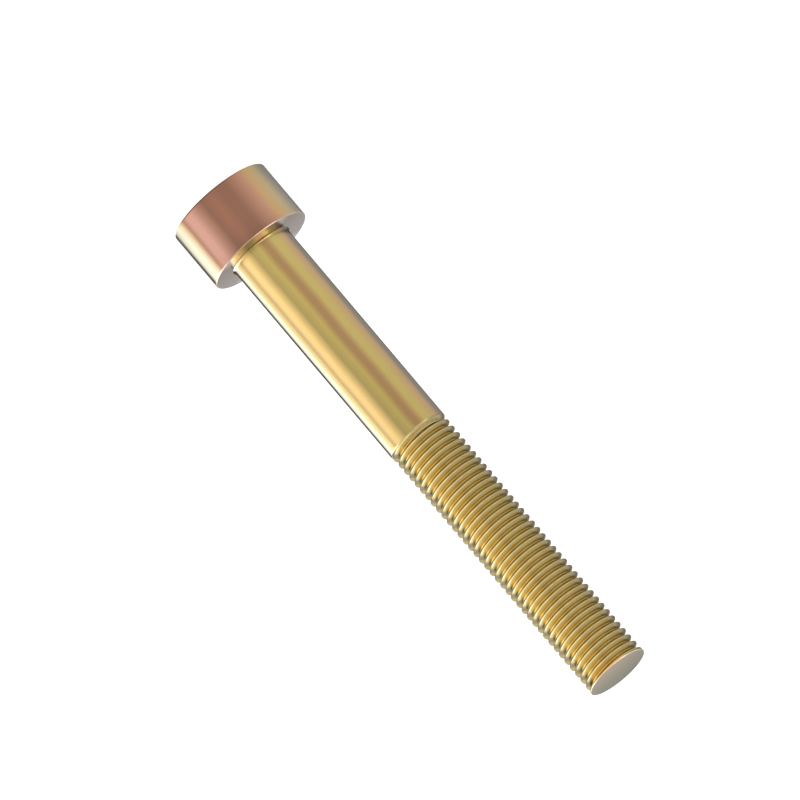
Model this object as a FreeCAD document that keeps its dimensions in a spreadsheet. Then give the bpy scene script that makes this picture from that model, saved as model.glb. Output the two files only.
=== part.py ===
import FreeCAD, Part
import math
import os
import Sketcher
from FreeCAD import Vector

# A socket head cap screw of nominal size 6, 50 long under its head, made as one solid.
# It stands on its head: the origin is the centre of the head's flat outer face,
# and +Z runs up the axis to the end of the thread.

# Each driving size, in millimetres, degrees or pitches, with what it measures
SIZES = (
    ("head_diameter", 10.0, "outside of the smooth cylindrical head"),
    ("head_height", 5.8, "from the flat outer face to the bearing face"),
    ("head_rim_break", 0.08, "broken rim of the flat outer face, nearly sharp"),
    ("bearing_rim_break", 0.1, "broken edge round the bearing face"),
    ("under_head_slope", 0.25, "small cone between the bearing face and the shank"),
    ("length_under_head", 50.0, "from the bearing face to the end of the thread"),
    ("shank_diameter", 6.0, "plain shank"),
    ("plain_length", 22.0, "from the bearing face to the end of the plain shank"),
    ("shoulder_drop", 0.33, "the shank's end slopes inwards by this, over the same length"),
    ("neck_length", 0.12, "short round neck between the slope and the thread"),
    ("thread_undersize", 0.05, "the crests' diameter is this much below the shank's"),
    ("pitch", 0.75, "from one crest to the next"),
    ("groove_depth_in_pitches", 0.46, "depth of the V-shaped groove"),
    ("flank_angle", 60.0, "between the two flanks of the groove"),
    ("cutter_margin_in_pitches", 0.03, "the flanks are carried on this far outside the crests"),
    ("thread_lead_in", 0.813, "the groove starts this far below the shank's end, at +X"),
    ("tip_land_rise", 0.015, "the land at the tip stands above the crests by this"),
    ("tip_land_length", 0.12, "full land that closes the thread at the tip"),
    ("tip_edge_break", 0.06, "broken edge round the end face"),
    ("socket_width", 5.0, "across the flats of the hexagonal socket"),
    ("socket_depth", 3.0, "length of the socket's flats"),
    ("socket_mouth_margin", 0.06, "the mouth's cone reaches this far outside the corners"),
    ("socket_point_margin", 0.15, "the pointed floor starts this far inside the flats"),
    ("socket_point_angle", 120.0, "included angle of the pointed floor"),
)

FULL_TURN = 360.0
HEXAGON_SIDES = 6

# Heights and radii that several features share
SHANK_END = "sizes.head_height + sizes.plain_length"
TIP = "sizes.head_height + sizes.length_under_head"
SHANK_RADIUS = "sizes.shank_diameter / 2"
CREST_RADIUS = "(sizes.shank_diameter - sizes.thread_undersize) / 2"
GROOVE_DEPTH = "sizes.groove_depth_in_pitches * sizes.pitch"
GROOVE_START = "(%s - sizes.thread_lead_in)" % SHANK_END
TIP_RADIUS = "(%s + sizes.tip_land_rise)" % CREST_RADIUS
SOCKET_CORNER_RADIUS = "sizes.socket_width / 2 / cos(180 / %d)" % HEXAGON_SIDES

# Two places closer than this are one place
SAME_PLACE = 1e-6

# Features that take material away; all the others bring some
CUTS = (
    "thread_groove", "hex_socket", "socket_mouth", "socket_point",
    "head_rim", "bearing_rim", "tip_edge",
)


def size_sheet(doc):
    """A row for each driving size: its name, its value and what it measures."""
    sheet = doc.addObject("Spreadsheet::Sheet", "sizes")
    for row, (name, value, meaning) in enumerate(SIZES, start=1):
        sheet.set("A%d" % row, name)
        sheet.set("B%d" % row, "%g" % value)
        sheet.set("C%d" % row, meaning)
        sheet.setAlias("B%d" % row, name)
    doc.recompute()
    return sheet


# Helpers for sketches and turned shapes

def origin_item(body, role):
    return next(item for item in body.Origin.OriginFeatures if item.Role == role)


def sketch_on(body, plane, name):
    sketch = body.newObject("Sketcher::SketchObject", name)
    sketch.AttachmentSupport = [(origin_item(body, plane), "")]
    sketch.MapMode = "FlatFace"
    return sketch


def bind_corner(sketch, corner, kind, axis, name, formula):
    """Ties a corner to the sketch's origin with a named distance, or lays it on an axis."""
    if formula == "0":
        sketch.addConstraint(Sketcher.Constraint("PointOnObject", corner, 1, axis))
        return
    datum = sketch.addConstraint(Sketcher.Constraint(kind, -1, 1, corner, 1, 1.0))
    sketch.renameConstraint(datum, name)
    sketch.setExpression("Constraints." + name, formula)


def draw_outline(sketch, corners):
    """A closed outline of straight sides. Each corner has a name and two formulas:
    how far out from the axis it is, and how high up. A formula of 0 puts it on the axis."""
    count = len(corners)
    for side in range(count):
        start = Vector(side, side % 2, 0)
        end = Vector(side + 1, (side + 1) % 2, 0)
        sketch.addGeometry(Part.LineSegment(start, end))
    for side in range(count):
        following = (side + 1) % count
        sketch.addConstraint(Sketcher.Constraint("Coincident", side, 2, following, 1))
    for corner, (name, out, up) in enumerate(corners):
        bind_corner(sketch, corner, "DistanceX", -2, name + "_out", out)
        bind_corner(sketch, corner, "DistanceY", -1, name + "_up", up)


def turn_about_axis(body, kind, name, sketch):
    turned = body.newObject(kind, name)
    turned.Profile = sketch
    turned.ReferenceAxis = (origin_item(body, "Z_Axis"), [""])
    turned.Angle = FULL_TURN


def round_bar(body, name, radius, start, length):
    bar = body.newObject("PartDesign::AdditiveCylinder", name)
    bar.AttachmentSupport = [(origin_item(body, "XY_Plane"), "")]
    bar.MapMode = "FlatFace"
    bar.setExpression("Radius", radius)
    bar.setExpression("Height", length)
    bar.setExpression("AttachmentOffset.Base.z", start)


# Thread

def threaded_rod(body):
    """Bar for the thread. It starts inside the shank, a pitch below the groove's start."""
    start = "%s - sizes.pitch" % GROOVE_START
    length = "%s - sizes.tip_land_length / 2 - (%s)" % (TIP, start)
    round_bar(body, "threaded_rod", CREST_RADIUS, start, length)


def groove_section(body):
    """V-shaped section of the groove. Its flanks run on past the crests, where the
    straight sides of the cutter begin, so that no edge lies on the bar's own surface."""
    margin = "sizes.cutter_margin_in_pitches * sizes.pitch"
    root = "%s - %s" % (CREST_RADIUS, GROOVE_DEPTH)
    mouth = "%s + %s" % (CREST_RADIUS, margin)
    outside = "%s + %s" % (CREST_RADIUS, GROOVE_DEPTH)
    half_width = "(%s + %s) * tan(sizes.flank_angle / 2)" % (GROOVE_DEPTH, margin)
    low = "%s - %s" % (GROOVE_START, half_width)
    high = "%s + %s" % (GROOVE_START, half_width)
    section = sketch_on(body, "XZ_Plane", "groove_section")
    draw_outline(section, (
        ("root", root, GROOVE_START),
        ("mouth_high", mouth, high),
        ("outside_high", outside, high),
        ("outside_low", outside, low),
        ("mouth_low", mouth, low),
    ))
    return section


def thread_groove(body):
    """The section, carried up and round the axis in a right-hand helix, past the tip."""
    groove = body.newObject("PartDesign::SubtractiveHelix", "thread_groove")
    groove.Profile = groove_section(body)
    groove.ReferenceAxis = (origin_item(body, "Z_Axis"), [""])
    groove.HasBeenEdited = True
    groove.Mode = "pitch-height-angle"
    groove.LeftHanded = False
    groove.setExpression("Pitch", "sizes.pitch")
    groove.setExpression("Height", "%s - %s + sizes.pitch" % (TIP, GROOVE_START))


def tip_land(body):
    """Thin full land that closes the thread's last turn, so the end face stays round."""
    start = "%s - sizes.tip_land_length" % TIP
    round_bar(body, "tip_land", TIP_RADIUS, start, "sizes.tip_land_length")


# Head and plain shank

def head_and_shank(body):
    """Head, plain shank, sloping shoulder and neck, turned as one about the axis.
    They cover the start of the groove, so it comes out of the sloping shoulder."""
    head_radius = "sizes.head_diameter / 2"
    neck_radius = "%s - sizes.shoulder_drop" % SHANK_RADIUS
    neck_start = "%s + sizes.shoulder_drop" % SHANK_END
    neck_end = "%s + sizes.neck_length" % neck_start
    outline = sketch_on(body, "XZ_Plane", "head_and_shank_outline")
    draw_outline(outline, (
        ("face_centre", "0", "0"),
        ("face_rim", head_radius, "0"),
        ("bearing_rim", head_radius, "sizes.head_height"),
        ("shank_root", SHANK_RADIUS, "sizes.head_height"),
        ("shank_end", SHANK_RADIUS, SHANK_END),
        ("neck_start", neck_radius, neck_start),
        ("neck_end", neck_radius, neck_end),
        ("neck_centre", "0", neck_end),
    ))
    turn_about_axis(body, "PartDesign::Revolution", "head_and_shank", outline)


# Hexagonal socket

def hexagon_sketch(body):
    """A regular hexagon about the axis, with two flats square to X. Its corners lie on
    a circle, and that circle's radius follows from the width across the flats."""
    half_side = 180.0 / HEXAGON_SIDES
    drawn = 1.0
    turns = [math.radians(half_side * (2 * corner + 1)) for corner in range(HEXAGON_SIDES)]
    corners = [Vector(drawn * math.cos(turn), drawn * math.sin(turn), 0) for turn in turns]
    sketch = sketch_on(body, "XY_Plane", "socket_hexagon")
    for side in range(HEXAGON_SIDES):
        following = (side + 1) % HEXAGON_SIDES
        sketch.addGeometry(Part.LineSegment(corners[side], corners[following]))
    around = sketch.addGeometry(Part.Circle(Vector(0, 0, 0), Vector(0, 0, 1), drawn), True)
    sketch.addConstraint(Sketcher.Constraint("Coincident", around, 3, -1, 1))
    for side in range(HEXAGON_SIDES):
        following = (side + 1) % HEXAGON_SIDES
        sketch.addConstraint(Sketcher.Constraint("Coincident", side, 2, following, 1))
        sketch.addConstraint(Sketcher.Constraint("PointOnObject", side, 1, around))
        if side:
            sketch.addConstraint(Sketcher.Constraint("Equal", 0, side))
    sketch.addConstraint(Sketcher.Constraint("Vertical", HEXAGON_SIDES - 1))
    radius = sketch.addConstraint(Sketcher.Constraint("Radius", around, drawn))
    sketch.renameConstraint(radius, "corner_radius")
    sketch.setExpression("Constraints.corner_radius", SOCKET_CORNER_RADIUS)
    return sketch


def hex_socket(body):
    pocket = body.newObject("PartDesign::Pocket", "hex_socket")
    pocket.Profile = hexagon_sketch(body)
    pocket.Reversed = True
    pocket.setExpression("Length", "sizes.socket_depth")


def socket_mouth(body):
    """A 45 degree cone at the mouth, which only the socket's corners meet."""
    radius = "%s + sizes.socket_mouth_margin" % SOCKET_CORNER_RADIUS
    cone = sketch_on(body, "XZ_Plane", "socket_mouth_cone")
    draw_outline(cone, (
        ("centre", "0", "0"),
        ("rim", radius, "0"),
        ("apex", "0", radius),
    ))
    turn_about_axis(body, "PartDesign::Groove", "socket_mouth", cone)


def socket_point(body):
    """The drill's point, left in the floor below the flats."""
    radius = "(sizes.socket_width / 2 - sizes.socket_point_margin)"
    height = "%s / tan(sizes.socket_point_angle / 2)" % radius
    cone = sketch_on(body, "XZ_Plane", "socket_point_cone")
    draw_outline(cone, (
        ("centre", "0", "sizes.socket_depth"),
        ("base", radius, "sizes.socket_depth"),
        ("apex", "0", "sizes.socket_depth + %s" % height),
    ))
    turn_about_axis(body, "PartDesign::Groove", "socket_point", cone)


# Broken edges, and the small cone under the head

def ring_edges(body, radius, height):
    """Names of the circular edges of the solid with this radius at this height."""
    names = []
    for index, edge in enumerate(body.Shape.Edges, start=1):
        if not isinstance(edge.Curve, Part.Circle):
            continue
        same_radius = abs(edge.Curve.Radius - radius) < SAME_PLACE
        same_height = abs(edge.Curve.Center.z - height) < SAME_PLACE
        if same_radius and same_height:
            names.append("Edge%d" % index)
    return names


def break_ring(body, name, size, radius, height):
    """A 45 degree cone in place of the ring-shaped edge at this radius and height."""
    body.Document.recompute()
    carrier = body.Tip
    cone = body.newObject("PartDesign::Chamfer", name)
    cone.Base = (carrier, ring_edges(body, radius, height))
    cone.setExpression("Size", "sizes." + size)


def break_edges(body, sheet):
    head_radius = sheet.get("head_diameter") / 2
    head_height = sheet.get("head_height")
    shank_radius = sheet.get("shank_diameter") / 2
    crest_radius = shank_radius - sheet.get("thread_undersize") / 2
    tip_radius = crest_radius + sheet.get("tip_land_rise")
    tip_height = head_height + sheet.get("length_under_head")
    break_ring(body, "head_rim", "head_rim_break", head_radius, 0)
    break_ring(body, "bearing_rim", "bearing_rim_break", head_radius, head_height)
    break_ring(body, "under_head", "under_head_slope", shank_radius, head_height)
    break_ring(body, "tip_edge", "tip_edge_break", tip_radius, tip_height)


# The whole screw, its checks and its file

def cap_screw(doc, sheet):
    body = doc.addObject("PartDesign::Body", "cap_screw")
    body.Label = "cap_screw"
    body.Placement = FreeCAD.Placement()
    threaded_rod(body)
    thread_groove(body)
    tip_land(body)
    head_and_shank(body)
    hex_socket(body)
    socket_mouth(body)
    socket_point(body)
    break_edges(body, sheet)
    doc.recompute()
    return body


def check_features(doc, body):
    """Every feature is sound, each cut takes material away and the others bring some."""
    for item in doc.Objects:
        if {"Invalid", "Error"} & set(item.State):
            raise RuntimeError("%s is not sound" % item.Name)
    volume = 0.0
    for feature in body.Group:
        if not feature.isDerivedFrom("PartDesign::Feature"):
            continue
        change = feature.Shape.Volume - volume
        if (change < 0) != (feature.Name in CUTS) or abs(change) < SAME_PLACE:
            raise RuntimeError("%s changes the volume by %.4f" % (feature.Name, change))
        print("%-15s %+10.3f mm3" % (feature.Name, change))
        volume = feature.Shape.Volume


def check_solid(shape):
    if shape.isNull() or not shape.isValid():
        raise RuntimeError("the screw has no valid shape")
    if len(shape.Solids) != 1:
        raise RuntimeError("the screw isn't one solid")
    box = shape.optimalBoundingBox()
    print("%.3f x %.3f x %.3f mm" % (box.XLength, box.YLength, box.ZLength))


document = FreeCAD.newDocument("cap_screw")
size_values = size_sheet(document)
screw = cap_screw(document, size_values)
check_features(document, screw)
check_solid(screw.Shape)
os.makedirs("parts", exist_ok=True)
screw.Shape.exportStep("parts/cap_screw.step")
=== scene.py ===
# %% [markdown]
# # A socket head cap screw in yellow zinc
#
# The real screw is one piece of steel. Its head is pressed, its thread is rolled, and
# then it is plated with zinc and passivated, which leaves the gold colour with bands
# of pink, olive and cream round it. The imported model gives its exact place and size.
# This script shows the same screw with its full thread and its finish.

import math

import bmesh
import bpy
from mathutils import Matrix, Vector


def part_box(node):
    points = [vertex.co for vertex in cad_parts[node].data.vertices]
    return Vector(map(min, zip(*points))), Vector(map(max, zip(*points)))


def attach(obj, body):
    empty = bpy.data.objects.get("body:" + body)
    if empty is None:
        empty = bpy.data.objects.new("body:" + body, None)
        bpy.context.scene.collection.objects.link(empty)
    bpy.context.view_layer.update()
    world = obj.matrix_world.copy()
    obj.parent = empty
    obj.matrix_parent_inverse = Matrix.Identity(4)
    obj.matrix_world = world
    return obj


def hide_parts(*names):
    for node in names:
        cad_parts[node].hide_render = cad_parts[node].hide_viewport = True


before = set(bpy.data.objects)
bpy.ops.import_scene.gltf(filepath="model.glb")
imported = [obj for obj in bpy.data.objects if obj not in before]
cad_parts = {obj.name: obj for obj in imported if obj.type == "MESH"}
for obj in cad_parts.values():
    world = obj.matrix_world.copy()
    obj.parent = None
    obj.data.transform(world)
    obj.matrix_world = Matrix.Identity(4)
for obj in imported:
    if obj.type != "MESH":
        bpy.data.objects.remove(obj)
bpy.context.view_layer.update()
box_low, box_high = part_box("cap_screw")
print("packed screw, in mm:", [round(side * 1000, 2) for side in box_high - box_low])

# %% [markdown]
# ## Sizes
#
# Blender works in metres, so each size is written in millimetres times MM. The head's
# radius and the screw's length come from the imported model, and the other sizes are
# written here. The thread has its full depth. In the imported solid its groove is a
# shallower V, which begins at the same place and has the same pitch.

# %% Sizes
MM = 0.001
FULL_TURN = 2 * math.pi
SAME_PLACE = 0.0001 * MM

tip = box_high.z
head_radius = box_high.x
head_height = 5.8 * MM
shank_radius = 3.0 * MM
shank_end = head_height + 22.0 * MM

pitch = 0.75 * MM
crest_radius = 2.975 * MM
thread_depth = 0.46 * MM
crest_width = pitch / 8
flank_angle = math.radians(30)
lead_in = 0.813 * MM
groove_start = shank_end - lead_in

print("thread:", round((tip - shank_end) / pitch, 1), "turns of", pitch / MM, "mm")

# %% [markdown]
# ## Turned shapes
#
# The head and the shank are round, so they are made as a lathe would make them: half
# of their outline is drawn beside the axis and spun round it. The spin leaves several
# points in one place on the axis, and these are merged.

# %% A helper that turns an outline
ROUND_STEPS = 128
ROUND_PROFILE = 0.5


def half_outline(corners):
    """A chain of edges in the XZ plane. Each corner is a radius and a height."""
    shape = bmesh.new()
    points = [shape.verts.new((radius, 0, height)) for radius, height in corners]
    for start, end in zip(points, points[1:]):
        shape.edges.new((start, end))
    return shape


def turned(corners):
    """The solid that a lathe makes of this outline."""
    shape = half_outline(corners)
    bmesh.ops.spin(
        shape,
        geom=shape.verts[:] + shape.edges[:],
        cent=(0, 0, 0),
        axis=(0, 0, 1),
        angle=FULL_TURN,
        steps=ROUND_STEPS,
        use_merge=True,
    )
    bmesh.ops.remove_doubles(shape, verts=shape.verts, dist=SAME_PLACE)
    bmesh.ops.recalc_face_normals(shape, faces=shape.faces)
    return shape


# %% [markdown]
# No edge of a real screw is perfectly sharp: the tumbling and the plating round them.
# A bevel of a few narrow faces catches the light along each rim. Under the head the
# bevel is a fillet, which keeps the head from cracking off the shank.

# %% A helper that rounds a ring-shaped edge
def round_ring(shape, radius, height, size, segments=3):
    """Rounds the ring-shaped edge that has this radius and lies at this height."""
    def on_ring(point):
        out = math.hypot(point.co.x, point.co.y)
        return abs(out - radius) < SAME_PLACE and abs(point.co.z - height) < SAME_PLACE

    ring = [edge for edge in shape.edges if all(on_ring(point) for point in edge.verts)]
    bmesh.ops.bevel(
        shape,
        geom=ring,
        offset=size,
        offset_type="OFFSET",
        segments=segments,
        profile=ROUND_PROFILE,
        affect="EDGES",
        material=-1,
    )


# %% Turn the head and the plain shank
shoulder_drop = 0.38 * MM
neck_length = 0.07 * MM
neck_radius = shank_radius - shoulder_drop
neck_start = shank_end + shoulder_drop
neck_end = neck_start + neck_length

foot_round = 0.08 * MM
bearing_round = 0.1 * MM
fillet = 0.25 * MM
shank_end_round = 0.04 * MM

blank = turned([
    (0, 0),
    (head_radius, 0),
    (head_radius, head_height),
    (shank_radius, head_height),
    (shank_radius, shank_end),
    (neck_radius, neck_start),
    (neck_radius, neck_end),
    (0, neck_end),
])
round_ring(blank, head_radius, 0, foot_round)
round_ring(blank, head_radius, head_height, bearing_round)
round_ring(blank, shank_radius, head_height, fillet, segments=5)
round_ring(blank, shank_radius, shank_end, shank_end_round, segments=2)
print("head and shank:", len(blank.faces), "faces")

# %% [markdown]
# ## The thread
#
# A thread is one short outline, a single pitch high, that climbs as it goes round.
# The spin operator does this when each step is also given a small rise, dvec: after
# a full turn the outline has climbed by one pitch and lands on its own start. One
# turn is wound, and copies of it are stacked and merged into one skin, which is much
# quicker than winding them all. The crest is an eighth of a pitch wide, the flanks
# stand 60 degrees apart, and the corners of crest and root are rounded, as rolling
# leaves them.
#
# The thread starts lower than it shows and ends higher. Two cuts across it leave it
# as long as the real one, and each cut is closed with a flat face.

# %% Wind the thread
THREAD_STEPS = 96
THREAD_CORNER_STEPS = 3
thread_round = 0.035 * MM

root_radius = crest_radius - thread_depth
flank_width = thread_depth * math.tan(flank_angle)
root_width = pitch - crest_width - 2 * flank_width
spare_turns = 2
thread_turns = math.ceil((tip - groove_start) / pitch) + spare_turns


def thread_outline():
    """One pitch of the thread, from the middle of a root to the middle of the next."""
    heights = [
        (root_radius, 0),
        (root_radius, root_width / 2),
        (crest_radius, root_width / 2 + flank_width),
        (crest_radius, root_width / 2 + flank_width + crest_width),
        (root_radius, root_width / 2 + 2 * flank_width + crest_width),
        (root_radius, pitch),
    ]
    base = groove_start - pitch
    shape = half_outline([(radius, base + height) for radius, height in heights])
    corners = [point for point in shape.verts if len(point.link_edges) == 2]
    bmesh.ops.bevel(
        shape,
        geom=corners,
        offset=thread_round,
        offset_type="OFFSET",
        segments=THREAD_CORNER_STEPS,
        profile=ROUND_PROFILE,
        affect="VERTICES",
        material=-1,
    )
    return shape


thread = thread_outline()
bmesh.ops.spin(
    thread,
    geom=thread.verts[:] + thread.edges[:],
    cent=(0, 0, 0),
    axis=(0, 0, 1),
    dvec=(0, 0, pitch / THREAD_STEPS),
    angle=FULL_TURN,
    steps=THREAD_STEPS,
)
first_turn = thread.verts[:] + thread.edges[:] + thread.faces[:]
for turn in range(1, thread_turns):
    copied = bmesh.ops.duplicate(thread, geom=first_turn)["geom"]
    points = [item for item in copied if isinstance(item, bmesh.types.BMVert)]
    bmesh.ops.translate(thread, verts=points, vec=(0, 0, turn * pitch))
bmesh.ops.remove_doubles(thread, verts=thread.verts, dist=SAME_PLACE)
print("thread:", len(thread.faces), "faces in", thread_turns, "turns")

# %% Cut the thread to length and close its ends
tip_land = 0.12 * MM
hidden_thread = 0.3 * MM
thread_foot = shank_end - hidden_thread
thread_top = tip - tip_land / 2


def cut_across(shape, height, keep_above):
    """Cuts the shape flat at this height, throws one side away and closes the cut."""
    bmesh.ops.bisect_plane(
        shape,
        geom=shape.verts[:] + shape.edges[:] + shape.faces[:],
        dist=SAME_PLACE,
        plane_co=(0, 0, height),
        plane_no=(0, 0, 1),
        clear_inner=keep_above,
        clear_outer=not keep_above,
    )
    rim = [edge for edge in shape.edges if edge.is_boundary
           and all(abs(point.co.z - height) < SAME_PLACE for point in edge.verts)]
    bmesh.ops.edgenet_fill(shape, edges=rim)


cut_across(thread, thread_foot, keep_above=True)
cut_across(thread, thread_top, keep_above=False)
bmesh.ops.recalc_face_normals(thread, faces=thread.faces)
open_edges = sum(not edge.is_manifold for edge in thread.edges)
print("thread cut to length:", len(thread.faces), "faces,", open_edges, "open edges")

# %% Turn the thin land that closes the thread at the tip
tip_radius = 2.99 * MM
tip_round = 0.05 * MM
land = turned([
    (0, tip - tip_land),
    (tip_radius, tip - tip_land),
    (tip_radius, tip),
    (0, tip),
])
round_ring(land, tip_radius, tip, tip_round)

# %% [markdown]
# ## The hexagonal socket
#
# A hexagonal punch leaves the socket in the hot head. Its tool here is a six-sided
# prism with a pointed end, and a cone that opens the corners at the mouth. They are
# taken away from the head, and don't stay in the scene.

# %% Shape the punch for the socket
socket_flats = 5.0 * MM
socket_depth = 3.0 * MM
below_face = 1.0 * MM
half_side_angle = math.radians(30)
corner_radius = socket_flats / 2 / math.cos(half_side_angle)

punch = bmesh.new()
bmesh.ops.create_cone(
    punch,
    cap_ends=True,
    segments=6,
    radius1=corner_radius,
    radius2=corner_radius,
    depth=socket_depth + below_face,
)
bmesh.ops.rotate(punch, verts=punch.verts, matrix=Matrix.Rotation(half_side_angle, 3, "Z"))
bmesh.ops.translate(punch, verts=punch.verts, vec=(0, 0, (socket_depth - below_face) / 2))

mouth_opening = 0.06 * MM
mouth_radius = corner_radius + mouth_opening
mouth = turned([
    (0, -below_face),
    (mouth_radius + below_face, -below_face),
    (0, mouth_radius),
])

floor_ledge = 0.15 * MM
overlap = 0.5 * MM
half_point_angle = math.radians(60)
point_radius = socket_flats / 2 - floor_ledge
point_height = point_radius / math.tan(half_point_angle)
point = turned([
    (0, socket_depth - overlap),
    (point_radius, socket_depth - overlap),
    (point_radius, socket_depth),
    (0, socket_depth + point_height),
])

# %% [markdown]
# ## One solid
#
# The real screw is one piece, so the parts are joined into one skin with no faces
# left inside. A Boolean modifier does this on closed shapes. It is worked out here
# once, and the finished mesh goes on without its tools.

# %% Join the parts into one skin
def as_object(shape, name):
    """Puts a finished shape into the scene."""
    mesh = bpy.data.meshes.new(name)
    shape.to_mesh(mesh)
    shape.free()
    item = bpy.data.objects.new(name, mesh)
    bpy.context.scene.collection.objects.link(item)
    return item


def combine(body, tools, operation):
    """Joins the tools to the body, or takes them away from it, and deletes them."""
    for tool in tools:
        modifier = body.modifiers.new(operation, "BOOLEAN")
        modifier.operation = operation
        modifier.object = tool
        modifier.solver = "MANIFOLD"
    bpy.context.view_layer.update()
    finished = body.evaluated_get(bpy.context.evaluated_depsgraph_get())
    mesh = bpy.data.meshes.new_from_object(finished)
    body.modifiers.clear()
    body.data = mesh
    for tool in tools:
        bpy.data.objects.remove(tool)


screw = as_object(blank, "plated_screw")
combine(screw, [as_object(thread, "thread"), as_object(land, "land")], "UNION")
socket_tools = [as_object(punch, "punch"), as_object(mouth, "mouth"), as_object(point, "point")]
combine(screw, socket_tools, "DIFFERENCE")
print("whole screw:", len(screw.data.polygons), "faces")

# %% Smooth the skin, and keep its real edges sharp
SHARP_ANGLE = math.radians(32)

shape = bmesh.new()
shape.from_mesh(screw.data)
bmesh.ops.remove_doubles(shape, verts=shape.verts, dist=SAME_PLACE)
for face in shape.faces:
    face.smooth = True
open_edges = sum(not edge.is_manifold for edge in shape.edges)
shape.to_mesh(screw.data)
shape.free()
screw.data.set_sharp_from_angle(angle=SHARP_ANGLE)
print("open edges in the skin:", open_edges)

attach(screw, "root")
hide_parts("cap_screw")

# %% [markdown]
# ## The finish
#
# Yellow passivated zinc is a metal under a film that is thinner than a wavelength of
# light. Where the film's thickness changes, its gold turns to rose, olive or cream. On
# a round bar these colours lie in soft bands that run along it. They are painted here
# by the angle round the screw's axis, in the object's own coordinates, so they stay on
# the screw from every side. A colour ramp is the simplest way to lay out bands, since
# each stop is one angle and one colour.
#
# The bands hold painted reflections as well as the film's hues. Their lighter and
# darker steps stand for the bright and dim surroundings that a real screw reflects,
# and that this evenly white studio doesn't have. The grey, dark and cream bands
# between 55 and 95 degrees from the front, on either side, are a shortcut of this
# kind, painted reflections more than film. Seen from the side, they are streaks along
# the screw. Dark and bright cards set up round it would give true reflections instead.

# %% Colours of the bands, as they look
def seen(red, green, blue):
    """A colour written as it looks on a screen, 0 to 255, made linear for the shader."""
    def linear(value):
        value /= 255
        return value / 12.92 if value <= 0.04045 else ((value + 0.055) / 1.055) ** 2.4
    return (linear(red), linear(green), linear(blue), 1.0)


CREAM = seen(252, 248, 220)
STRAW = seen(245, 208, 136)
BEIGE = seen(190, 165, 120)
GOLD = seen(184, 162, 94)
OLIVE = seen(182, 162, 98)
BROWN = seen(160, 126, 86)
TAUPE = seen(176, 146, 114)
GREY = seen(158, 151, 138)
ASH = seen(134, 132, 124)
PEWTER = seen(166, 162, 157)
SLATE = seen(66, 60, 53)
ROSE = seen(204, 155, 137)
FAWN = seen(240, 212, 172)
COPPER = seen(150, 104, 84)
UMBER = seen(136, 98, 80)
BRONZE = seen(182, 148, 106)
RUSSET = seen(171, 127, 106)
ORANGE = seen(226, 162, 70)
PINK = seen(232, 200, 184)
DUN = seen(180, 164, 120)
REED = seen(160, 146, 104)
PARCHMENT = seen(206, 192, 150)
LINEN = seen(220, 204, 152)
SAND = seen(196, 180, 130)
BUTTER = seen(239, 220, 160)
VANILLA = seen(244, 229, 176)
OCHRE = seen(168, 141, 73)
HONEY = seen(184, 152, 78)
CORN = seen(218, 180, 90)
WHEAT = seen(236, 198, 111)
MOSS = seen(168, 149, 91)
SAGE = seen(174, 156, 120)
LOAM = seen(122, 115, 95)
MAUVE = seen(212, 198, 184)
DIM_MAUVE = seen(146, 132, 124)
LICHEN = seen(204, 203, 184)

# %% Bands round the axis: an angle in degrees from the front, and a colour
# In these tables the lighter and darker steps are partly painted reflections. CREAM at 60 to 70 degrees
# is a painted highlight, and SLATE at 75 to 84 degrees is a painted dark reflection.
SHANK_BANDS = (
    (-180, BROWN), (-150, GOLD), (-122, STRAW), (-95, ASH), (-80, ASH),
    (-72, GREY), (-65, ASH), (-53, TAUPE), (-36, OLIVE), (-28, OLIVE), (-17, BROWN), (-10, BROWN),
    (0, GOLD), (14, MOSS), (30, STRAW), (36, STRAW), (44, BEIGE), (54, STRAW),
    (60, CREAM), (68, CREAM), (75.5, SLATE), (82, SLATE),
    (97, TAUPE), (118, OLIVE), (146, STRAW), (180, BROWN),
)
HEAD_BANDS = (
    (-180, COPPER), (-145, ROSE), (-118, STRAW), (-93, ASH), (-82, ASH), (-75, PEWTER),
    (-66, GREY), (-55, SAGE), (-42, BRONZE), (-32, RUSSET), (-16, UMBER), (-6, UMBER),
    (4, COPPER), (15, UMBER), (24, RUSSET), (33, ROSE), (40, ROSE), (46, RUSSET),
    (53, FAWN), (60, CREAM), (70, CREAM), (77.5, SLATE), (84, SLATE),
    (98, BRONZE), (125, UMBER), (150, ROSE), (180, COPPER),
)
# On the thread, the bright BUTTER, VANILLA, LINEN, CORN and WHEAT steps at 15 to 46 degrees are painted
# highlights. The GREY and LOAM steps near the outlines are painted dim reflections.
CREST_BANDS = (
    (-180, SAND), (-120, BUTTER), (-80, GREY), (-60, DUN), (-34, DUN), (-18, REED), (0, SAND),
    (15, BUTTER), (32, BUTTER), (45, VANILLA), (55, SAND), (64, LOAM), (74, LOAM),
    (92, SAND), (120, BUTTER), (180, SAND),
)
FLANK_BANDS = (
    (-180, PARCHMENT), (-120, LINEN), (-80, GREY), (-60, PARCHMENT), (4, PARCHMENT),
    (32, LINEN), (46, LINEN), (55, SAND), (64, LOAM), (74, LOAM), (92, SAND),
    (120, LINEN), (180, PARCHMENT),
)
ROOT_BANDS = (
    (-180, HONEY), (-120, CORN), (-80, LOAM), (-60, OCHRE), (-17, OCHRE), (0, HONEY),
    (16, CORN), (32, CORN), (45, WHEAT), (55, CORN), (64, LOAM), (74, LOAM),
    (92, HONEY), (120, CORN), (180, HONEY),
)

# %% [markdown]
# No bath leaves a film that is quite even. A slow wave, made of noise, moves the bands
# a little to and fro. Finer ones change how matt the surface is, how bright the painted
# highlights on its rims are and how its grain lies. They all come from one node group,
# which is set up once and used with different wave lengths.

# %% A group of nodes for uneven waves
NOISE_DETAIL = 3.0
NOISE_MIDDLE = 0.5


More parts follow.
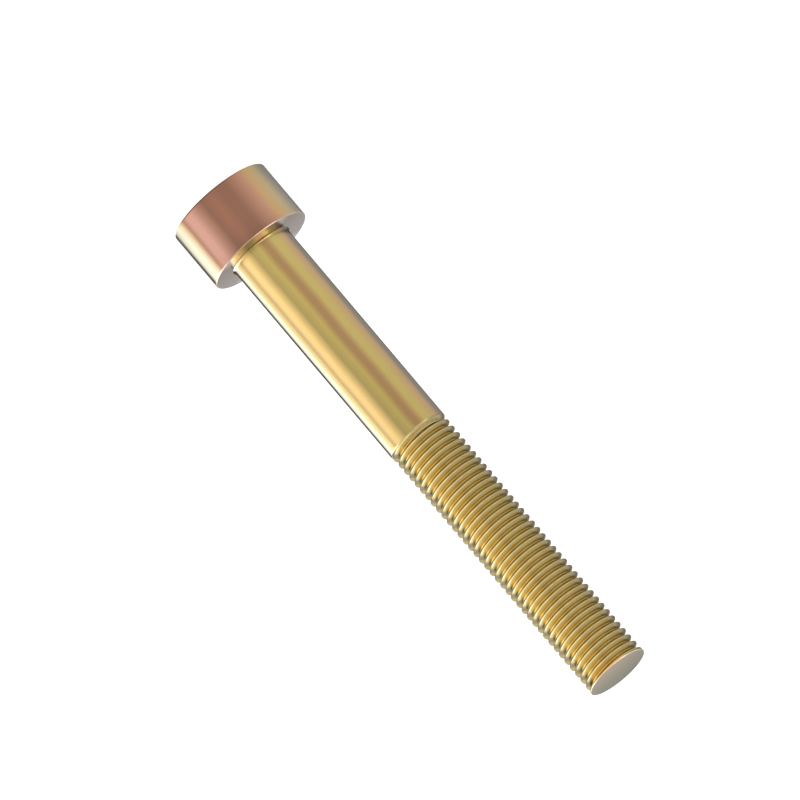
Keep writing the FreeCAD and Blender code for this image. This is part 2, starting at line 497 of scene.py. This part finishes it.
def uneven_wave_group():
    """Noise round zero. Waves says how many there are to a metre, and Height how high."""
    group = bpy.data.node_groups.new("uneven_wave", "ShaderNodeTree")
    group.interface.new_socket("Place", in_out="INPUT", socket_type="NodeSocketVector")
    group.interface.new_socket("Waves", in_out="INPUT", socket_type="NodeSocketFloat")
    group.interface.new_socket("Height", in_out="INPUT", socket_type="NodeSocketFloat")
    group.interface.new_socket("Wave", in_out="OUTPUT", socket_type="NodeSocketFloat")
    start = group.nodes.new("NodeGroupInput")
    noise = group.nodes.new("ShaderNodeTexNoise")
    noise.inputs["Detail"].default_value = NOISE_DETAIL
    centred = group.nodes.new("ShaderNodeMath")
    centred.operation = "SUBTRACT"
    centred.inputs[1].default_value = NOISE_MIDDLE
    scaled = group.nodes.new("ShaderNodeMath")
    scaled.operation = "MULTIPLY"
    end = group.nodes.new("NodeGroupOutput")
    group.links.new(start.outputs["Place"], noise.inputs["Vector"])
    group.links.new(start.outputs["Waves"], noise.inputs["Scale"])
    group.links.new(noise.outputs["Fac"], centred.inputs[0])
    group.links.new(centred.outputs[0], scaled.inputs[0])
    group.links.new(start.outputs["Height"], scaled.inputs[1])
    group.links.new(scaled.outputs[0], end.inputs["Wave"])
    return group


uneven_wave = uneven_wave_group()

# %% [markdown]
# The plating's nodes do a little arithmetic on where a point lies. Short helpers keep
# it readable: each makes one node, joins up its inputs and gives back its output. An
# input is either another node's output or a plain value.

# %% The plating, and helpers for its nodes
plating = bpy.data.materials.new("yellow_zinc_plating")
plating.use_nodes = True
nodes, links = plating.node_tree.nodes, plating.node_tree.links
surface = nodes["Principled BSDF"]
place = nodes.new("ShaderNodeTexCoord")


def fill(sockets, values):
    """Links each value that is another node's output, and writes in the others."""
    for socket, value in zip(sockets, values):
        if isinstance(value, bpy.types.NodeSocket):
            links.new(value, socket)
        else:
            socket.default_value = value


def math_node(operation, *values):
    node = nodes.new("ShaderNodeMath")
    node.operation = operation
    fill(node.inputs, values)
    return node.outputs[0]


def plus(first, second):
    return math_node("ADD", first, second)


def times(first, second):
    return math_node("MULTIPLY", first, second)


def fade(value, start, end):
    """From 0 at the start to 1 at the end, and level beyond both."""
    node = nodes.new("ShaderNodeMapRange")
    fill(node.inputs[:3], (value, start, end))
    return node.outputs[0]


def mix_colours(share, first, second):
    """The Mix node keeps its two colours in inputs 6 and 7, and the mixed one in output 2."""
    node = nodes.new("ShaderNodeMix")
    node.data_type = "RGBA"
    fill((node.inputs[0], node.inputs[6], node.inputs[7]), (share, first, second))
    return node.outputs[2]


def wave(waves, height):
    """An uneven wave, in the screw's own coordinates."""
    node = nodes.new("ShaderNodeGroup")
    node.node_tree = uneven_wave
    fill(node.inputs, (place.outputs["Object"], waves, height))
    return node.outputs["Wave"]


# %% Where a point lies: height, distance from the axis, angle and slope
position = nodes.new("ShaderNodeSeparateXYZ")
links.new(place.outputs["Object"], position.inputs[0])
across, depth, height = position.outputs
from_axis = math_node("SQRT", plus(times(across, across), times(depth, depth)))
angle = math_node("ARCTAN2", across, times(depth, -1.0))

direction = nodes.new("ShaderNodeSeparateXYZ")
links.new(place.outputs["Normal"], direction.inputs[0])
slope = direction.outputs["Z"]

# %% Lay the bands round the axis
BAND_WAVES = 160.0
BAND_SHIFT = 0.012
RAMP_FRONT = 0.5

turn_share = plus(math_node("DIVIDE", angle, FULL_TURN), RAMP_FRONT)
turn_share = plus(turn_share, wave(BAND_WAVES, BAND_SHIFT))


def band_ramp(name, bands):
    """A colour ramp that goes once round the axis, from the back to the back."""
    ramp = nodes.new("ShaderNodeValToRGB")
    ramp.name = ramp.label = name
    stops = ramp.color_ramp.elements
    stops[0].color = bands[0][1]
    stops[-1].color = bands[-1][1]
    for degrees, colour in bands[1:-1]:
        stops.new(RAMP_FRONT + degrees / 360).color = colour
    links.new(turn_share, ramp.inputs["Fac"])
    return ramp.outputs["Color"]


shank_colour = band_ramp("shank_bands", SHANK_BANDS)
head_colour = band_ramp("head_bands", HEAD_BANDS)
crest_colour = band_ramp("crest_bands", CREST_BANDS)
flank_colour = band_ramp("flank_bands", FLANK_BANDS)
root_colour = band_ramp("root_bands", ROOT_BANDS)

# %% [markdown]
# The head is rosier than the shank, and the thread is plainer than both. Its crests and
# the tops of its flanks are pale. At the front the flanks are painted paler than the
# crests, a painted light that offsets some of the shade in the groove, and the root is
# painted a deeper, darker gold, which is partly painted shade. Light that is reflected
# to and fro in the groove deepens that gold further. A spot of orange at the front of the
# last groove is a painted glow of light reflected there. The shoulder is mostly as pale
# as the flanks, and the flat faces have hardly any colour; the bearing face is painted
# dimmer at the sides, a painted reflection.
#
# Each part is picked out by numbers that go from 0 to 1: how far a point is from the
# axis, how high it is and which way its face looks. Two such numbers multiplied pick
# out what both of them do, and their maximum picks out what either does. Two colours
# are mixed by such a number, and the next part's colour is laid over the result.

# %% Pick out each part of the screw
LEVEL = 0.98
NEARLY_LEVEL = 0.9
beside = 0.01 * MM
head_side_end = head_height - 0.11 * MM
head_rim_start = head_radius - 0.12 * MM
thread_colour_start = shank_end + 0.02 * MM
shoulder_colour_end = neck_start + 0.03 * MM


def below(value, limit):
    return math_node("LESS_THAN", value, limit)


def above(value, limit):
    return math_node("GREATER_THAN", value, limit)


def either(first, second):
    return math_node("MAXIMUM", first, second)


def at_angles(start, full, last, end):
    """From 0 at the start to 1 between full and last, and back to 0 at the end."""
    rising = fade(angle, math.radians(start), math.radians(full))
    falling = fade(angle, math.radians(end), math.radians(last))
    return times(rising, falling)


on_head = either(below(height, head_side_end), above(from_axis, head_rim_start))
on_bearing = times(above(slope, NEARLY_LEVEL), below(height, shank_end))
on_thread = above(height, thread_colour_start)
on_tip = times(above(slope, LEVEL), above(height, tip - beside))
on_foot = times(below(slope, -LEVEL), below(height, beside))

# %% Colour the thread by how deep a point lies in its groove
LAST_GROOVE_ORANGE = 0.7
flank_start = crest_radius - 0.02 * MM
flank_full = crest_radius - 0.1 * MM
root_start = root_radius + 0.24 * MM
root_full = root_radius + 0.02 * MM
orange_start = tip - 0.36 * MM
orange_full = tip - 0.2 * MM

# Painted light: at the front the flank colour is paler than the crest's, against the groove's shade, and
# the root colour is a darker gold, partly painted shade.
on_flank = fade(from_axis, flank_start, flank_full)
in_root = times(fade(from_axis, root_start, root_full), above(height, shoulder_colour_end))
thread_colour = mix_colours(on_flank, crest_colour, flank_colour)
thread_colour = mix_colours(in_root, thread_colour, root_colour)
# The orange at the front of the last groove is a painted glow of reflected light.
last_groove = times(fade(height, orange_start, orange_full), at_angles(-35, -10, 35, 60))
thread_colour = mix_colours(times(last_groove, LAST_GROOVE_ORANGE), thread_colour, ORANGE)

# %% Colour the flat faces, and lay the parts' colours over one another
MAUVE_START = 0.6
MAUVE_FULL = 0.85
lichen_start = -1.2 * MM
lichen_full = 1.0 * MM

# Painted reflection: the bearing face is painted lighter towards the front and back, and dimmer at the
# sides.
front_share = math_node("DIVIDE", math_node("ABSOLUTE", depth), from_axis)
bearing_colour = mix_colours(fade(front_share, MAUVE_START, MAUVE_FULL), DIM_MAUVE, MAUVE)
end_colour = mix_colours(fade(depth, lichen_start, lichen_full), MAUVE, LICHEN)

colour = mix_colours(on_head, shank_colour, head_colour)
colour = mix_colours(on_bearing, colour, bearing_colour)
colour = mix_colours(on_thread, colour, thread_colour)
colour = mix_colours(either(on_tip, on_foot), colour, end_colour)

# %% [markdown]
# A fine pale line along the bearing rim and the tip rim is a painted highlight, broken
# here and there by a noise wave. The rim that the screw stands on looks down, away from
# the light. Its darkness is painted shade, and only at the front.

# %% Rims
RIM_HIGHLIGHT_WAVES = 900.0
RIM_HIGHLIGHT_HEIGHT = 0.8
RIM_HIGHLIGHT_MIDDLE = 0.6
FOOT_RIM_DARKNESS = 0.9
bearing_highlight_width = 0.1 * MM
beyond_bearing = head_height + 1.0 * MM
tip_highlight_width = 0.06 * MM
foot_shade_width = 0.09 * MM
foot_shade_top = 0.12 * MM

# Painted highlights on the bearing and tip rims, and painted shade on the front of the rim that the screw
# stands on.
bearing_rim_highlight = times(above(from_axis, head_radius - bearing_highlight_width), above(height, head_height - bearing_highlight_width))
bearing_rim_highlight = times(bearing_rim_highlight, below(height, beyond_bearing))
tip_rim_highlight = times(above(from_axis, tip_radius - tip_highlight_width), above(height, tip - tip_highlight_width))
foot_rim_shade = times(above(from_axis, head_radius - foot_shade_width), below(height, foot_shade_top))
foot_rim_shade = times(foot_rim_shade, at_angles(-50, 10, 35, 55))

rim_highlight_share = plus(wave(RIM_HIGHLIGHT_WAVES, RIM_HIGHLIGHT_HEIGHT), RIM_HIGHLIGHT_MIDDLE)
colour = mix_colours(times(bearing_rim_highlight, rim_highlight_share), colour, PINK)
colour = mix_colours(times(tip_rim_highlight, rim_highlight_share), colour, CREAM)
colour = mix_colours(times(foot_rim_shade, FOOT_RIM_DARKNESS), colour, SLATE)
links.new(colour, surface.inputs["Base Color"])

# %% [markdown]
# The Specular Tint of a metal is its colour at a glancing angle: with a grey tint the
# sides of the screw darken towards their outline, as plated steel does. The bearing
# face is seen at a glancing angle itself, and keeps a white one.

# %% Metal, its glancing colour, and how matt it is
GLANCING_GREY = (0.36, 0.35, 0.34, 1.0)
WHITE = (1.0, 1.0, 1.0, 1.0)
MATT_WAVES = 700.0
MATT_HEIGHT = 0.08
MATT_MIDDLE = 0.24
THREAD_EXTRA_MATT = 0.1

surface.inputs["Metallic"].default_value = 1.0
links.new(mix_colours(on_bearing, GLANCING_GREY, WHITE), surface.inputs["Specular Tint"])
roughness = plus(wave(MATT_WAVES, MATT_HEIGHT), MATT_MIDDLE)
roughness = plus(roughness, times(on_thread, THREAD_EXTRA_MATT))
links.new(roughness, surface.inputs["Roughness"])

# %% A fine grain on the plating
GRAIN_WAVES = 2500.0
GRAIN_STRENGTH = 0.06
grain_depth = 0.02 * MM

bump = nodes.new("ShaderNodeBump")
bump.inputs["Strength"].default_value = GRAIN_STRENGTH
bump.inputs["Distance"].default_value = grain_depth
links.new(wave(GRAIN_WAVES, 1.0), bump.inputs["Height"])
links.new(bump.outputs["Normal"], surface.inputs["Normal"])

screw.data.materials.clear()
screw.data.materials.append(plating)

# %% [markdown]
# ## Floor, light and camera
#
# The screw stands on its head on a white floor. The camera is a product
# photographer's: it looks from the side and a little from above, without perspective,
# and is rolled so that the screw lies slantwise across the picture.

# %% A white floor
def white_backdrop(name, lit_share):
    """Mostly its own white where the camera or a reflection sees it, so it stays white,
    and for the rest a lit surface that takes the screw's shadow."""
    material = bpy.data.materials.new(name)
    material.use_nodes = True
    nodes, links = material.node_tree.nodes, material.node_tree.links
    nodes.clear()
    path = nodes.new("ShaderNodeLightPath")
    camera_or_glossy = nodes.new("ShaderNodeMath")
    camera_or_glossy.operation = "MAXIMUM"
    seen_at_all = nodes.new("ShaderNodeMath")
    seen_at_all.operation = "MAXIMUM"
    glow = nodes.new("ShaderNodeEmission")
    lit = nodes.new("ShaderNodeBsdfDiffuse")
    both = nodes.new("ShaderNodeAddShader")
    out = nodes.new("ShaderNodeOutputMaterial")
    lit.inputs["Color"].default_value = (lit_share, lit_share, lit_share, 1)
    links.new(path.outputs["Is Camera Ray"], camera_or_glossy.inputs[0])
    links.new(path.outputs["Is Glossy Ray"], camera_or_glossy.inputs[1])
    links.new(camera_or_glossy.outputs[0], seen_at_all.inputs[0])
    links.new(path.outputs["Is Transmission Ray"], seen_at_all.inputs[1])
    links.new(seen_at_all.outputs[0], glow.inputs["Strength"])
    links.new(glow.outputs[0], both.inputs[0])
    links.new(lit.outputs[0], both.inputs[1])
    links.new(both.outputs[0], out.inputs["Surface"])
    return material


FLOOR_REACH = 0.6
FLOOR_LIT_SHARE = 0.2

floor_shape = bmesh.new()
bmesh.ops.create_grid(floor_shape, x_segments=1, y_segments=1, size=FLOOR_REACH)
floor = as_object(floor_shape, "floor")
floor.data.materials.append(white_backdrop("white_floor", FLOOR_LIT_SHARE))

# %% Soft light from all round
WORLD_STRENGTH = 0.8

world = bpy.data.worlds.new("studio")
bpy.context.scene.world = world
world.use_nodes = True
background = world.node_tree.nodes["Background"]
background.inputs["Color"].default_value = WHITE
background.inputs["Strength"].default_value = WORLD_STRENGTH

# %% Lamps
LAMP_DISTANCE = 0.35


def soft_lamp(name, azimuth, elevation, power, size):
    """A square lamp that faces the screw's middle. Azimuth 0 is the camera's side."""
    turn = math.radians(azimuth)
    rise = math.radians(elevation)
    level = Vector((math.sin(turn), -math.cos(turn), 0))
    side = level * math.cos(rise) + Vector((0, 0, math.sin(rise)))
    light = bpy.data.lights.new(name, "AREA")
    light.energy = power
    light.size = size
    lamp = bpy.data.objects.new(name, light)
    lamp.location = Vector((0, 0, tip / 2)) + side * LAMP_DISTANCE
    lamp.rotation_euler = side.to_track_quat("Z", "Y").to_euler()
    bpy.context.scene.collection.objects.link(lamp)


soft_lamp("back_right_lamp", azimuth=124, elevation=12, power=1.5, size=0.5)
soft_lamp("front_left_lamp", azimuth=-40, elevation=35, power=0.5, size=0.3)

# %% Camera
ELEVATION = math.radians(15)
ROLL = math.radians(139.79)
VIEW_HEIGHT = 69.967 * MM
CAMERA_DISTANCE = 0.3
NEAREST_SEEN = 0.001
FARTHEST_SEEN = 5.0

centre = Vector((-0.8475 * MM, 0, 24.233 * MM))
turn = Matrix.Rotation(math.pi / 2 - ELEVATION, 4, "X") @ Matrix.Rotation(ROLL, 4, "Z")
lens = bpy.data.cameras.new("camera")
lens.type = "ORTHO"
lens.ortho_scale = VIEW_HEIGHT
lens.clip_start = NEAREST_SEEN
lens.clip_end = FARTHEST_SEEN
camera = bpy.data.objects.new("camera", lens)
back_off = turn.to_3x3() @ Vector((0, 0, CAMERA_DISTANCE))
camera.matrix_world = Matrix.Translation(centre + back_off) @ turn
bpy.context.scene.collection.objects.link(camera)
bpy.context.scene.camera = camera

# %% Colours as written
bpy.context.scene.view_settings.view_transform = "Standard"
